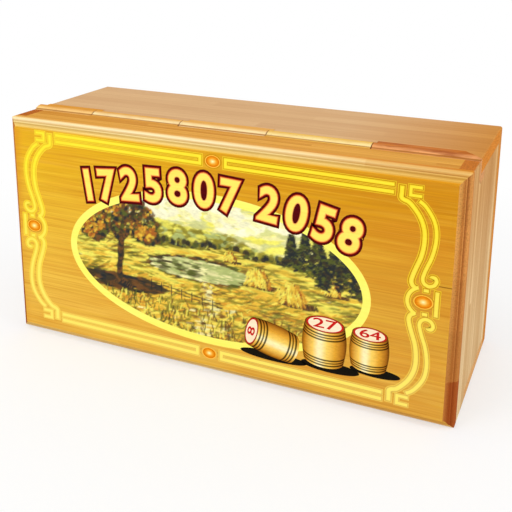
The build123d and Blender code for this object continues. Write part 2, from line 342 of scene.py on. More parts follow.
def moulding_bamboo(recipe, axes, depth, grain):
    """The lid's moulding: painted highlights and shade over its profile, pale along the grain, and redder end
    grain up its two sides.
    """
    # Painted highlights and painted shade lines follow the depth behind the face
    share = recipe.ramp(depth, MOULDING[0][0], MOULDING[-1][0])
    along = recipe.tinted(moulding_shades(recipe, share, 1), grain)
    # Along the grain the colour and its painted highlights turn warmer and dimmer towards the right
    along = recipe.tinted(along, recipe.shaded(WHITE, (244, 220, 178), axes[0], 10.0, 120.0))
    dots = recipe.ramp(recipe.cells((1.5, 1.5, 1.5)), 0.1, 0.6, 0.74, 1.12)
    lamella = recipe.math("FLOOR", recipe.math("DIVIDE", recipe.math("ADD", axes[2], 0.5), 25.5))
    strip = recipe.strip_shade(recipe.math("ADD", lamella, 3.0))
    dots = recipe.times(dots, recipe.ramp(strip, 0.0, 1.0, 0.86, 1.08))
    across = recipe.tinted(moulding_shades(recipe, share, 2), recipe.grey(dots))
    across = recipe.shaded(across, (170, 98, 40), axes[2], 20.0, 100.0, 0.55, 0.0)
    foot = recipe.ramp(axes[2], FOOT_STRIP, FOOT_STRIP + 0.4, 0.8, 0.0)
    foot = recipe.times(foot, recipe.ramp(depth, 0.5, 2.4, 0.25, 1.0))
    across = recipe.mix(foot, across, recipe.tinted(across, (208, 150, 130)))
    beyond = recipe.math("SUBTRACT", recipe.math("ABSOLUTE", axes[0]), recipe.apart(axes[2], BOARD_MIDDLE))
    return recipe.shaded(along, across, beyond, MITRE - 0.1, MITRE + 0.1)


def golden_ground(recipe, axes, fibre, grain):
    """The face's printed ground: golden, deeper above and to the right, and streaked along the grain."""
    rightward = recipe.ramp(axes[0], -110.0, 110.0)
    upper = recipe.mix(rightward, (240, 195, 38), (217, 152, 26))
    lower = recipe.mix(rightward, (244, 203, 88), (231, 182, 78))
    ground = recipe.shaded(lower, upper, axes[2], 20.0, 105.0)
    streak = recipe.noise((0.011, 0.75, 0.75), 3, (4, 1, 8), 0.7)
    ground = recipe.shaded(ground, (206, 134, 34), streak, 0.42, 0.72, 0.0, 0.6)
    pale = recipe.noise((0.014, 0.5, 0.5), 3, (14, 6, 2), 0.6)
    ground = recipe.shaded(ground, (246, 204, 72), pale, 0.52, 0.75, 0.0, 0.5)
    # Darker and redder along the left edge, most of all above
    edge = recipe.math("ADD", axes[0], recipe.times(streak, 8.0))
    edge = recipe.times(recipe.ramp(edge, -119.0, -111.0, 0.75, 0.0), recipe.ramp(axes[2], 60.0, 90.0, 0.45))
    ground = recipe.mix(edge, ground, (212, 132, 50))
    patch = recipe.noise((0.02, 0.07, 0.07), 2, (9, 2, 3))
    ground = recipe.shaded(ground, (226, 150, 44), patch, 0.45, 0.75, 0.0, 0.35)
    ground = recipe.shaded(ground, (170, 98, 22), fibre, 0.3, 0.8, 0.0, 0.25)
    ground = recipe.mix(0.5, ground, grain, "MULTIPLY")
    joint = recipe.ramp(recipe.apart(axes[2], FACE_JOINT), 0.1, 0.45, 0.75, 0.0)
    joint = recipe.times(joint, recipe.ramp(axes[0], 110.0, 114.0))
    return recipe.mix(joint, ground, (112, 60, 14))


def lid_bamboo():
    """The lid board: golden print on its flat face, bamboo with painted highlights and shade on its moulding,
    and plain bamboo on its back.
    """
    recipe = Recipe("printed lid bamboo")
    axes = recipe.axes()
    depth = recipe.math("SUBTRACT", axes[1], FACE_Y / MM)
    grain, fibre = bamboo_tone(recipe, *LID_STRIPS, WHITE, (232, 208, 164), 2.0, 0.9)
    base = recipe.shaded(moulding_bamboo(recipe, axes, depth, grain),
                         golden_ground(recipe, axes, fibre, grain), depth, 0.05, 0.12, 1.0, 0.0)
    facing = recipe.ramp(recipe.math("ABSOLUTE", recipe.normal()[1]), 0.93, 0.985)
    back = recipe.times(recipe.ramp(depth, BOARD_BACK, BOARD_BACK + 0.05), facing)
    base = recipe.mix(back, base, bamboo_tone(recipe, *LID_STRIPS, *TAN, 17.0, 0.9)[0])
    return recipe.finish(base, recipe.ramp(fibre, 0.2, 0.8, 0.28, 0.4), 0.8, 0.1, fibre, 0.1, 0.06)


dress("lid_panel", lid_bamboo())


def finish_piece(name, made, body, slot, finishes, stands_for=None):
    """Makes a piece of what was built, and says what it rides on and which node it stands for."""
    mesh = bpy.data.meshes.new(name)
    made.to_mesh(mesh)
    made.free()
    for finish in finishes:
        mesh.materials.append(finish)
    piece = bpy.data.objects.new(name, mesh)
    bpy.context.scene.collection.objects.link(piece)
    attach(piece, body)
    if stands_for:
        mesh.shade_smooth()
        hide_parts(stands_for)
    return piece


# The print on the lid's face, in mm across and up from its own middle
PRINT_MIDDLE = Vector((-1.4, 64.5))
PRINT_TURN = math.radians(-0.62)
LAYER = 0.006


class Plane:
    """Upright face that is printed on: its place, and the body of what is printed; the slot it holds is not
    used.
    """

    def __init__(self, y, slot, body="box", middle=(0, 0), turn=0.0):
        self.y, self.slot, self.body, self.middle = y, slot, body, Vector(middle)
        self.turn = Matrix.Rotation(turn, 2)

    def point(self, across, up, layer):
        """Point in metres, this many ink layers proud of the face."""
        turned = self.turn @ Vector((across, up)) + self.middle
        return Vector((turned.x * MM, self.y - layer * LAYER * MM, turned.y * MM))


LID_PLANE = Plane(FACE_Y, "lid_face", "lid", PRINT_MIDDLE, PRINT_TURN)
INK_GLOSS = 0.3


def ink(name, shade, shadow, gloss=INK_GLOSS, fades=()):
    """Printing ink, slightly uneven; a fade is (axis, from, to, its share at from and at to, colour)."""
    recipe = Recipe(name)
    uneven = recipe.noise((0.05, 1.2, 1.2), 3, (2, 5, 1), 0.6)
    patchy = recipe.noise((0.03, 0.09, 0.09), 2, (7, 7, 7))
    tone = recipe.math("MULTIPLY_ADD", uneven, 0.6, recipe.times(patchy, 0.4))
    base = recipe.shaded(shade, shadow, tone, 0.35, 0.7)
    for axis, low, high, at_low, at_high, tint in fades:
        base = recipe.shaded(base, tint, recipe.axes()[axis], low, high, at_low, at_high)
    return recipe.finish(base, gloss, 0.4, 0.1, uneven, 0.06, 0.04)


def painted(name):
    """Ink whose colour is painted on the mesh's points."""
    recipe = Recipe(name)
    paint = recipe.node("Attribute", output="Color", attribute_name="paint")
    uneven = recipe.noise((0.4, 0.9, 0.9), 3, (1, 2, 3), 0.6)
    base = recipe.tinted(paint, recipe.grey(recipe.ramp(uneven, 0.3, 0.7, 0.88, 1.1)))
    return recipe.finish(base, INK_GLOSS, 0.4, 0.1, uneven, 0.06, 0.04)


class Print:
    """Flat ink shapes on one plane, gathered into one piece."""

    def __init__(self, name, *inks, plane=LID_PLANE):
        self.name, self.inks, self.plane = name, inks, plane
        self.made = bmesh.new()
        self.paint = self.made.verts.layers.float_color.new("paint")

    def corner(self, across, up, layer, shade=None):
        vert = self.made.verts.new(self.plane.point(across, up, layer))
        if shade is not None:
            vert[self.paint] = shade
        return vert

    def cover(self, corners, tint):
        """Face through these corners, turned to the front."""
        face = self.made.faces.new(corners)
        face.material_index = tint
        face.normal_update()
        if face.normal.y > 0:
            face.normal_flip()

    def face(self, corners, tint, layer):
        self.cover([self.corner(*corner, layer) for corner in corners], tint)

    def band(self, line, width, tint, layer, closed=False):
        """Stroke of one width along a line."""
        line = [Vector(point) for point in line]
        sides = []
        for i, point in enumerate(line):
            before = line[i - 1] if i or closed else point
            after = line[(i + 1) % len(line)] if i + 1 < len(line) or closed else point
            into, away = (point - before).normalized(), (after - point).normalized()
            ahead = (into + away).normalized()
            across = Vector((-ahead.y, ahead.x))
            stretch = 1.0
            if before != point and after != point:
                stretch = 1 / max(0.5, abs(Vector((-into.y, into.x)).dot(across)))
            offset = across * width / 2 * stretch
            sides.append((point + offset, point - offset))
        legs = zip(sides, sides[1:] + sides[:1]) if closed else zip(sides, sides[1:])
        for a, b in legs:
            self.face((a[0], a[1], b[1], b[0]), tint, layer)

    def finish(self):
        finish_piece(self.name, self.made, self.plane.body, self.plane.slot, self.inks)


LINE_STEPS = 8


def smooth_line(points):
    """Curved line through the points, its bends shared out evenly between them."""
    points = [Vector(point) for point in points]
    points = [2 * points[0] - points[1], *points, 2 * points[-1] - points[-2]]
    line = []
    for a, b, c, d in zip(points, points[1:], points[2:], points[3:]):
        for k in range(LINE_STEPS):
            t = k / LINE_STEPS
            line.append(0.5 * (2 * b + (c - a) * t + (2 * a - 5 * b + 4 * c - d) * t ** 2
                               + (3 * b - a - 3 * c + d) * t ** 3))
    line.append(points[-2])
    return line


def trimmed(line, by, ends):
    """The line without this length at its start, its end or both."""
    for wanted in ends:
        line = line[::-1]
        left = by if wanted else 0.0
        while len(line) > 2 and (line[-1] - line[-2]).length <= left:
            left -= (line[-1] - line[-2]).length
            line = line[:-1]
        line = line[:-1] + [line[-1] + (line[-2] - line[-1]).normalized() * left]
    return line


def mirrored(line, right, upper):
    """The line mirrored into a quarter of the print; right and upper are 1 or -1."""
    return [(x * right, y * upper) for x, y in line]


def ellipse(middle, half, count, start=0.0, end=2 * math.pi):
    turn = end - start
    return [Vector((middle[0] + half[0] * math.cos(start + turn * i / count),
                    middle[1] + half[1] * math.sin(start + turn * i / count))) for i in range(count)]


# One quarter of the border; the rest is mirrored
INNER_SCROLL = [(95.9, 54.9), (95.9, 51.0), (95.9, 48.6), (97.2, 47.6), (99.4, 46.8), (102.2, 44.1),
                (104.8, 40.6), (106.6, 36.6), (107.5, 32.2), (107.4, 26.7), (106.5, 21.6), (104.8, 16.6),
                (103.5, 12.6), (102.9, 9.6), (103.6, 7.4), (105.6, 6.0)]
OUTER_SCROLL = [(103.4, 48.4), (106.4, 46.4), (108.9, 43.5), (111.2, 39.7), (112.4, 35.7), (112.7, 30.7),
                (112.1, 25.7), (111.0, 21.2), (109.5, 17.2), (108.4, 13.7), (108.0, 11.2), (108.8, 9.2),
                (110.9, 8.2), (113.2, 9.0), (114.3, 11.0), (113.6, 12.7), (112.0, 12.7), (111.6, 11.6)]
CORNER_BRACKET = [(105.8, 54.2), (99.9, 54.2), (99.9, 50.2), (105.8, 50.2)]
BRACKET_WIDTH = 2.8
BAR_LEVELS = (54.1, 50.5)
BAR_END = 93.2
# Where the upper and lower bars part round their gem
BAR_GAPS = {1: 1.55, -1: 0.2}
BAR_GAP = 5.35
SCROLL_WIDTH = 3.8
BAR_WIDTH = 3.3
# The post beside each side gem, the two blocks over and under it, and the arc that holds it
UPRIGHT = (115.1, 7.0)
UPRIGHT_WIDTH = 3.4
BLOCK = [(108.1, 5.9), (111.9, 5.9)]
BLOCK_WIDTH = 2.9
ARC = (7.4, 7.2)
ARC_WIDTH = 3.3
ARC_OPENING = 0.35
GEM_CENTRE = 109.0
GEM_LEVEL = 52.3
SIDE_GEM = (4.6, 3.45)
LEVEL_GEM = (4.2, 3.2)
GEM_FACETS = 32
# A gem's shades from its middle to its rim
GEM_SHADES = ((0.03, (255, 240, 176)), (0.2, (255, 214, 122)), (0.42, (246, 172, 52)), (0.66, (232, 138, 18)),
              (0.88, (214, 110, 8)))
# Shares of a stroke's width, from its outline to its pale core
STROKE_SHARES = (1.0, 0.8, 0.56, 0.34)
PALER_FOOT = (2, 22.0, 100.0, 0.6, 0.0, (249, 231, 126))
PALER_LINES = (2, 12.0, 72.0, 0.55, 0.0, (240, 206, 108))
CLEARER_LEFT = (0, -95.0, 30.0, 0.6, 0.0, (251, 227, 58))


def border_inks():
    """The inks from a stroke's outline to its core, then those of a gem's ring, stone and contour."""
    lines = (CLEARER_LEFT, PALER_LINES)
    return (ink("border outline ink", (238, 204, 50), (228, 190, 42), fades=lines),
            ink("border line ink", (198, 140, 12), (186, 126, 8), fades=lines),
            ink("border yellow ink", (243, 213, 46), (236, 202, 38), fades=(PALER_FOOT,)),
            ink("border light ink", (250, 231, 60), (246, 222, 50), fades=(PALER_FOOT,)),
            ink("gem ring ink", (251, 197, 72), (247, 188, 60)), painted("gem inks"),
            ink("gem contour ink", (204, 142, 16), (190, 128, 12), fades=(PALER_LINES,)))


def make_border():
    """The scroll border: strokes outlined in darker ink, and four oval gems."""
    piece = Print("lid_border_print", *border_inks())
    outline, line_ink, yellow, light, ring_ink, gem_ink, contour = range(7)

    def stroke(line, width, above=0.0, ends=(True, True)):
        line = [Vector(point) for point in line]
        for layer, (share, tint) in enumerate(zip(STROKE_SHARES, (outline, line_ink, yellow, light)), 1):
            piece.band(trimmed(line, (1 - share) / 2 * width, ends), width * share, tint, layer + above)

    def gem(middle, half):
        def ring(share, count):
            return ellipse(middle, [side * share for side in half], count)

        for share, tint, layer in ((1.14, contour, 1.6), (1.0, ring_ink, 3)):
            piece.face(ring(share, 40), tint, layer)
        rings = [[piece.corner(*spot, 4, colour(*shade)) for spot in ring(share, GEM_FACETS)]
                 for share, shade in GEM_SHADES]
        piece.cover(rings[0], gem_ink)
        for inner, outer in zip(rings, rings[1:]):
            for i in range(GEM_FACETS):
                piece.cover((inner[i - 1], inner[i], outer[i], outer[i - 1]), gem_ink)

    for right in (1, -1):
        for upper in (1, -1):
            stroke(mirrored(smooth_line(INNER_SCROLL), right, upper), SCROLL_WIDTH, ends=(True, False))
            stroke(mirrored(smooth_line(OUTER_SCROLL), right, upper), SCROLL_WIDTH * 0.85, 0.2)
            stroke(mirrored(CORNER_BRACKET, right, upper), BRACKET_WIDTH, 0.3)
            inner = BAR_GAPS[upper] * right + BAR_GAP + BAR_WIDTH / 2
            upper_bar, lower_bar = BAR_LEVELS
            bars = [(BAR_END, upper_bar), (inner, upper_bar), (inner, lower_bar), (BAR_END, lower_bar)]
            stroke(mirrored(bars, right, upper), BAR_WIDTH)
            stroke(mirrored(BLOCK, right, upper), BLOCK_WIDTH)
        low = math.pi / 2 * right + ARC_OPENING
        arc = ellipse((right * GEM_CENTRE, 0), ARC, 24, low, low + math.pi - 2 * ARC_OPENING)
        stroke(arc, ARC_WIDTH, 0.4, (False, False))
        stroke([(right * UPRIGHT[0], UPRIGHT[1]), (right * UPRIGHT[0], -UPRIGHT[1])], UPRIGHT_WIDTH)
        gem((right * GEM_CENTRE, 0), SIDE_GEM)
    for upper in (1, -1):
        gem((BAR_GAPS[upper], GEM_LEVEL * upper), LEVEL_GEM)
    piece.finish()


make_border()

OVAL_MIDDLE = (0.0, -5.9)
OVAL_HALF = (84.7, 41.1)
OVAL_BORDER = 4.0


class Canvas:
    """Picture painted stroke by stroke on a grid of points, in mm from the print's middle."""

    def __init__(self, left, right, low, high, step, seed):
        self.xs = np.arange(left, right + step, step)
        self.zs = np.arange(low, high + step, step)
        self.x, self.z = np.meshgrid(self.xs, self.zs)
        self.shade = np.zeros((*self.x.shape, 3))
        self.draw = random.Random(seed)

    def dab(self, x, z, long, wide, turn, tint, strength=0.85):
        """One brush stroke: an oval with a soft edge."""
        reach = max(long, wide)
        i0, i1 = np.searchsorted(self.zs, (z - reach, z + reach))
        j0, j1 = np.searchsorted(self.xs, (x - reach, x + reach))
        dx, dz = self.x[i0:i1, j0:j1] - x, self.z[i0:i1, j0:j1] - z
        u = (dx * math.cos(turn) + dz * math.sin(turn)) / long
        v = (dz * math.cos(turn) - dx * math.sin(turn)) / wide
        cover = np.clip((1 - np.sqrt(u * u + v * v)) * 3.0, 0, 1)[..., None] * strength
        patch = self.shade[i0:i1, j0:j1]
        patch += (np.array(tint[:3]) - patch) * cover

    def strokes(self, count, region, palette, long, wide, turn=0.0, spread=0.3, strength=0.85):
        """Random strokes in a region, (left, right, low, high, where it holds); sizes are (least, most)."""
        left, right, low, high, holds = region
        for _ in range(count):
            x, z = self.draw.uniform(left, right), self.draw.uniform(low, high)
            size = self.draw.random()
            tint = self.draw.choice(palette)
            lean = turn + self.draw.gauss(0, spread)
            value = 1 + self.draw.gauss(0, 0.08)
            if holds(x, z):
                sizes = [least + (most - least) * size for least, most in (long, wide)]
                self.dab(x, z, *sizes, lean, [c * value for c in tint[:3]], strength)


# The landscape's left, right, low and high sides in mm, its grid and its seed, and its paints
CANVAS = (-82, 82, -44, 33, 0.6, 11)
NIGHT, PITCH, UMBER, RUST, AMBER, GOLD, STRAW, LEMON, CREAM, OLIVE, MOSS, SAGE, MIST, CLOUD = (
    colour(*paint) for paint in (
        (44, 48, 50), (66, 58, 44), (112, 76, 44), (168, 96, 42), (208, 150, 52), (226, 184, 64),
        (240, 218, 90), (238, 230, 98), (244, 238, 170), (140, 130, 48), (88, 94, 44), (172, 182, 110),
        (206, 208, 140), (247, 244, 206)))


def oval(x, z, wide, tall):
    return lambda a, b: ((a - x) / wide) ** 2 + ((b - z) / tall) ** 2 < 1


def round_oval(x, z, wide, tall):
    """The oval with the box round it, as a region for strokes."""
    return x - wide, x + wide, z - tall, z + tall, oval(x, z, wide, tall)


def breadth(low, high, holds=lambda x, z: True):
    """A region over the whole breadth of the picture."""
    return -84, 84, low, high, holds


def hill(x):
    return 11 + 4.5 * math.sin(x / 24 + 2.2) + 1.0 * math.sin(x / 6.1)


def horizon(x):
    return 5 + 1.6 * math.sin(x / 13 + 1) + 1.2 * math.sin(x / 5.3)


def rise(x):
    return -14 + 3 * math.sin(x / 15)


def paint_sky_and_fields(canvas):
    """Sky and its clouds, then the far hill, the woods' edge, the fields and their furrows."""
    canvas.strokes(900, breadth(-46, 34), (MIST, LEMON, LEMON, CREAM), (6, 12), (3, 5), 0.0, 0.2, 1.0)
    canvas.strokes(700, breadth(8, 34), (MIST, LEMON, CREAM, LEMON), (4, 9), (1.2, 2.4), 0.1, 0.15)
    for cloud in ((-26, 25, 20, 6), (14, 22, 15, 5), (-58, 21, 12, 4), (42, 27, 16, 5), (2, 30, 14, 4)):
        canvas.strokes(170, round_oval(*cloud), (CLOUD, CLOUD, CREAM), (2.5, 5), (1.2, 2.2))
    canvas.strokes(1500, breadth(2, 18, lambda x, z: z < hill(x)), (OLIVE, SAGE, LEMON, OLIVE), (2, 4),
                   (0.8, 1.6), 0.1)
    canvas.strokes(1100, breadth(0, 12, lambda x, z: z < horizon(x) + 3.4), (MOSS, PITCH, NIGHT, OLIVE),
                   (1, 2.4), (0.9, 1.7), 1.2, 0.5)
    canvas.strokes(3200, breadth(-24, 8, lambda x, z: z < horizon(x) - 1), (STRAW, LEMON, GOLD, STRAW, OLIVE),
                   (3, 8), (0.5, 1.0), 0.04, 0.1)
    canvas.strokes(3400, breadth(-46, -13, lambda x, z: z < rise(x)), (GOLD, AMBER, STRAW, GOLD, OLIVE),
                   (2, 5), (0.5, 1.0), 0.22, 0.25)
    canvas.strokes(1100, breadth(-40, 2, lambda x, z: math.sin(x / 14 + z / 3) > 0.3), (UMBER, OLIVE, MOSS),
                   (2, 5), (0.4, 0.8), 0.1, 0.2, 0.6)


def paint_pond(canvas):
    """The bank, the water, and what it mirrors."""
    shore, water = oval(-6, -6.6, 29, 6.6), oval(-6, -7, 27, 5.2)
    canvas.strokes(420, (-36, 24, -14, 1, shore), (PITCH, MOSS, UMBER), (2, 4), (0.7, 1.2), 0.0, 0.2)
    canvas.strokes(520, (-34, 22, -13, 0, water), (MIST, CREAM, SAGE, SAGE), (2.5, 5), (0.5, 1.0), 0.0, 0.05)
    canvas.strokes(60, (-34, -6, -11, -3, water), (MOSS, PITCH), (2, 4), (0.5, 0.9), 0.0, 0.05, 0.7)


def paint_haystacks(canvas):
    """Each haystack has its shadow, its dark side and its lit side."""
    draw = canvas.draw
    for x, z, size in ((28, -9, 7.5), (46, -15, 9.0), (12, 1.5, 4.2), (66, -6, 5.5)):
        for side, tints, count in ((1, (PITCH, UMBER), 90), (0, (AMBER, UMBER, RUST), 120),
                                   (-1, (STRAW, LEMON, GOLD), 80)):
            for _ in range(count):
                t, r = draw.uniform(0, math.pi), math.sqrt(draw.random())
                across = x + side * size * 0.35 + size * r * math.cos(t) * (1.15 if side > 0 else 0.8)
                up = z + size * (0.12 * r) - 0.6 if side > 0 else z + size * (1.15 * r * math.sin(t))
                canvas.dab(across, up, size * 0.22, size * 0.07, 1.5 + 0.5 * math.cos(t), draw.choice(tints),
                           0.8)


def paint_firs(canvas):
    """Firs, each wide at its foot and pointed at its top."""
    draw = canvas.draw
    for x, z, tall in ((44, 4, 17), (51, 3, 21), (58, 1, 25), (66, -1, 22), (72, -3, 24), (78, -6, 20),
                       (61, -4, 17)):
        for _ in range(230):
            up = draw.random() ** 0.7
            reach = (1 - up) * tall * 0.24 + 0.4
            canvas.dab(x + draw.uniform(-reach, reach), z + up * tall, 1.7, 0.7,
                       draw.choice((0.5, -0.5, 2.6)), draw.choice((NIGHT, NIGHT, MOSS, PITCH)))


def paint_oak(canvas):
    """An old oak: its shade, its trunk and branches, and its crown with lit leaves."""
    draw = canvas.draw
    canvas.strokes(260, (-78, -26, -27, -18, oval(-52, -22, 25, 4.6)), (PITCH, UMBER, NIGHT), (2, 5),
                   (0.7, 1.3), 0.0, 0.15)
    limbs = ((-54, -22, -52, 6, 2.8), (-52, 0, -64, 14, 1.7), (-52, 2, -40, 15, 1.7),
             (-52, 6, -50, 22, 1.6), (-56, -22, -60, -25, 1.4), (-51, -22, -46, -25, 1.4))
    for x0, z0, x1, z1, thick in limbs:
        for k in range(60):
            t = k / 59
            canvas.dab(x0 + (x1 - x0) * t + draw.gauss(0, thick * 0.25), z0 + (z1 - z0) * t, thick * 0.9,
                       thick * 0.55, 1.4, draw.choice((NIGHT, PITCH, UMBER)), 0.9)
    for x, z, wide, tall in ((-62, 13, 14, 9), (-43, 14, 13, 9), (-52, 21, 15, 9), (-69, 5, 8, 6),
                             (-36, 7, 7, 5)):
        *box, crown = round_oval(x, z, wide, tall)
        canvas.strokes(230, (*box, crown), (PITCH, UMBER, NIGHT, MOSS), (1.2, 2.4), (0.8, 1.5), 0.5, 0.9)
        lit = lambda a, b: crown(a + 1.5, b - 1.5) and (a - x) - (b - z) < 4
        canvas.strokes(110, (*box, lit), (RUST, AMBER, RUST, GOLD), (0.8, 1.8), (0.6, 1.1), 0.5, 0.9)


def paint_foreground(canvas):
    """A path, tufts of grass and a low fence."""
    draw = canvas.draw
    for _ in range(260):
        t = draw.random()
        x = -8 + 26 * t - 20 * t * t + draw.gauss(0, 1.2 + 5 * (1 - t))
        canvas.dab(x, -44 + 31 * t, 3.5 - 2 * t, 0.9, 0.1, draw.choice((CREAM, STRAW, GOLD, UMBER)), 0.7)
    for _ in range(420):
        x = draw.uniform(-70, 60)
        z = -43 + 17 * draw.random() ** 1.5
        tuft = draw.choice((MOSS, UMBER, OLIVE, LEMON, PITCH))
        canvas.dab(x, z, draw.uniform(1.4, 3.2), 0.5, 1.57 + draw.gauss(0, 0.35), tuft, 0.8)
    for x in range(-34, 8, 6):
        z = -20 - 0.12 * (x + 34)
        canvas.dab(x, z, 3.4, 0.6, 1.57, NIGHT, 0.9)
        for rail in (z + 1.2, z - 0.8):
            canvas.dab(x + 3, rail, 3.4, 0.45, -0.12, PITCH, 0.9)


def make_picture():
    """Autumn fields with a pond, haystacks, an old oak on the left and firs on the right."""
    piece = Print("lid_picture_print", painted("landscape inks"))
    canvas = Canvas(*CANVAS)
    for paint in (paint_sky_and_fields, paint_pond, paint_haystacks, paint_firs, paint_oak, paint_foreground):
        paint(canvas)
    across, up = [half - OVAL_BORDER + 1.2 for half in OVAL_HALF]
    away = ((canvas.x - OVAL_MIDDLE[0]) / across) ** 2 + ((canvas.z - OVAL_MIDDLE[1]) / up) ** 2
    points = {}

    def point(i, j):
        if (i, j) not in points:
            points[i, j] = piece.corner(canvas.x[i, j], canvas.z[i, j], 1, (*canvas.shade[i, j], 1))
        return points[i, j]

    for i in range(len(canvas.zs) - 1):
        for j in range(len(canvas.xs) - 1):
            if away[i, j] < 1:
                piece.cover((point(i, j), point(i, j + 1), point(i + 1, j + 1), point(i + 1, j)), 0)
    piece.finish()


make_picture()


def make_oval():
    """The yellow line round the picture."""
    piece = Print("lid_oval_print", ink("oval yellow ink", (254, 246, 118), (252, 238, 96)))
    middle = [half - OVAL_BORDER / 2 for half in OVAL_HALF]
    piece.band(ellipse(OVAL_MIDDLE, middle, 160), OVAL_BORDER, 0, 2, closed=True)
    piece.finish()


make_oval()


def area_of(loop):
    """Area within a loop, negative where it runs clockwise."""
    return sum(a.x * b.y - b.x * a.y for a, b in zip(loop, loop[1:] + loop[:1])) / 2


def inside(point, loop):
    """Whether a line from the point to the right crosses the loop an odd number of times."""
    crossings = 0
    for a, b in zip(loop, loop[1:] + loop[:1]):
        if (a.y > point.y) != (b.y > point.y):
            crossings += point.x < a.x + (point.y - a.y) / (b.y - a.y) * (b.x - a.x)
    return crossings % 2 == 1


# Height of a numeral as a share of its type's size
NUMERAL_SHARE = 0.73


def text_loops(text, height):
    """Outlines of a line of numerals with its middle at the origin, in mm: [(outline, [holes]), ...]."""
    curve = bpy.data.curves.new("numerals", "FONT")
    curve.body = text
    curve.size = height / NUMERAL_SHARE
    curve.align_x, curve.align_y = "CENTER", "CENTER"
    curve.resolution_u = 6
    curve.fill_mode = "NONE"
    shown = bpy.data.objects.new("numerals", curve)
    bpy.context.scene.collection.objects.link(shown)
    mesh = bpy.data.meshes.new_from_object(shown)
    points = [vertex.co.to_2d() for vertex in mesh.vertices]
    beside = {}
    for edge in mesh.edges:
        a, b = edge.vertices
        beside.setdefault(a, []).append(b)
        beside.setdefault(b, []).append(a)
    bpy.data.objects.remove(shown)
    bpy.data.curves.remove(curve)
    bpy.data.meshes.remove(mesh)
    loops, left = [], set(beside)
    while left:
        walk = [min(left)]
        left.discard(walk[0])
        while True:
            ahead = [i for i in beside[walk[-1]] if i in left]
            if not ahead:
                break
            walk.append(ahead[0])
            left.discard(ahead[0])
        loop = [points[i] for i in walk]
        loops.append(loop if area_of(loop) > 0 else loop[::-1])
    outer = [loop for loop in loops
             if not any(inside(loop[0], other) for other in loops if other is not loop)]
    return [(loop, [hole for hole in loops if hole is not loop and inside(hole[0], loop)])
            for loop in outer]


def grown(loop, by):
    """The loop with its sides moved outwards."""
    loop = [point for point, before in zip(loop, loop[-1:] + loop[:-1]) if (point - before).length > 0.05]
    moved = []
    for before, point, after in zip(loop[-1:] + loop[:-1], loop, loop[1:] + loop[:1]):
        into, away = (point - before).normalized(), (after - point).normalized()
        sides = Vector((into.y, -into.x)), Vector((away.y, -away.x))
        out = sides[0] + sides[1]
        # At a hairpin the two sides face away from each other
        if out.length < 0.3:
            out = into - away
        out.normalize()
        moved.append(point + out * by / max(0.6, out.dot(sides[0])))
    return moved


def room_in(loop):
    """Roughly the radius of the largest disc inside a loop."""
    return 2 * area_of(loop) / sum((a - b).length for a, b in zip(loop, loop[1:] + loop[:1]))


def fill_loops(piece, loops, place, tint, layer):
    """Fills an outline less its holes, each point put where place says."""
    flat = [[place(point) for point in loop] for loop in loops]
    corners = [piece.corner(spot.x, spot.y, layer) for loop in flat for spot in loop]
    for triple in tessellate_polygon([[spot.to_3d() for spot in loop] for loop in flat]):
        piece.cover([corners[i] for i in triple], tint)


def placed_text(middle, turn=0.0, stretch=(1, 1)):
    """Where each point of a line of numerals goes."""
    rotate = Matrix.Rotation(turn, 2)
    return lambda point: rotate @ Vector((point.x * stretch[0], point.y * stretch[1])) + Vector(middle)


def set_text(piece, text, height, place, swell, tint, layer):
    """Fills a line of numerals, its outlines moved out and its holes closed up by the swell."""
    for outline, holes in text_loops(text, height):
        open_holes = [grown(hole, -swell) for hole in holes if room_in(hole) > 1.3 * swell]
        fill_loops(piece, [grown(outline, swell), *open_holes], place, tint, layer)


SQUEEZE = 0.9
# Plain numerals on two arcs: text, middle, height, turn in degrees
NUMERALS = [
    ("1", (-72.0, 28.4), 17.0, 9.0), ("7", (-60.5, 30.0), 17.0, 7.0), ("2", (-46.6, 32.4), 17.5, 5.0),
    ("5", (-32.4, 34.0), 17.5, 3.0), ("8", (-18.2, 35.2), 17.5, 1.5), ("0", (-3.2, 35.6), 17.5, 0.0),
    ("7", (10.6, 35.0), 17.0, -2.0),
    ("2", (31.5, 33.8), 17.5, -6.0), ("0", (46.0, 31.6), 17.5, -9.0), ("5", (60.0, 28.6), 17.5, -12.0),
    ("8", (73.0, 25.2), 17.0, -14.0),
]
# How far the dark, red, orange and yellow ink of a numeral reach past its outline
NUMERAL_SWELLS = (2.6, 1.35, 0.95, 0.5)


def make_numerals():
    """Each numeral is a dark rim and a red one, with an orange body and a yellow core."""
    piece = Print("lid_numerals_print", ink("numeral dark ink", (72, 10, 14), (96, 12, 14), 0.25),
                  ink("numeral red ink", (206, 66, 28), (186, 48, 20)),
                  ink("numeral orange ink", (250, 178, 96), (240, 150, 70)),
                  ink("numeral yellow ink", (254, 234, 106), (252, 220, 92)))
    dark, red, orange, yellow = range(4)
    for text, middle, height, turn in NUMERALS:
        place = placed_text(middle, math.radians(turn), (SQUEEZE, 1))
        for outline, holes in text_loops(text, height):
            fill_loops(piece, [grown(outline, NUMERAL_SWELLS[dark])], place, dark, 3)
            fill_loops(piece, [grown(outline, NUMERAL_SWELLS[red])], place, red, 4)
            for hole in holes:
                fill_loops(piece, [hole], place, dark, 5)
        for tint, layer in ((orange, 6), (yellow, 7)):
            set_text(piece, text, height, place, NUMERAL_SWELLS[tint], tint, layer)
    piece.finish()


make_numerals()


# Shades round a printed keg from its left to its right side, its hoops, and the grid it is drawn on
KEG_SHADES = [(side, colour(*shade)) for side, shade in (
    (-1.0, (120, 70, 14)), (-0.86, (196, 130, 34)), (-0.5, (250, 206, 96)), (-0.2, (255, 246, 196)),
    (0.1, (252, 214, 104)), (0.5, (226, 164, 52)), (0.84, (172, 108, 28)), (1.0, (96, 52, 12)))]
HOOPS = (0.07, 0.145, 0.22, 0.78, 0.855, 0.93)
HOOP_HALF, HOOP_EDGE = 0.014, 0.023
DRAWN_ROWS, DRAWN_COLUMNS = 100, 24
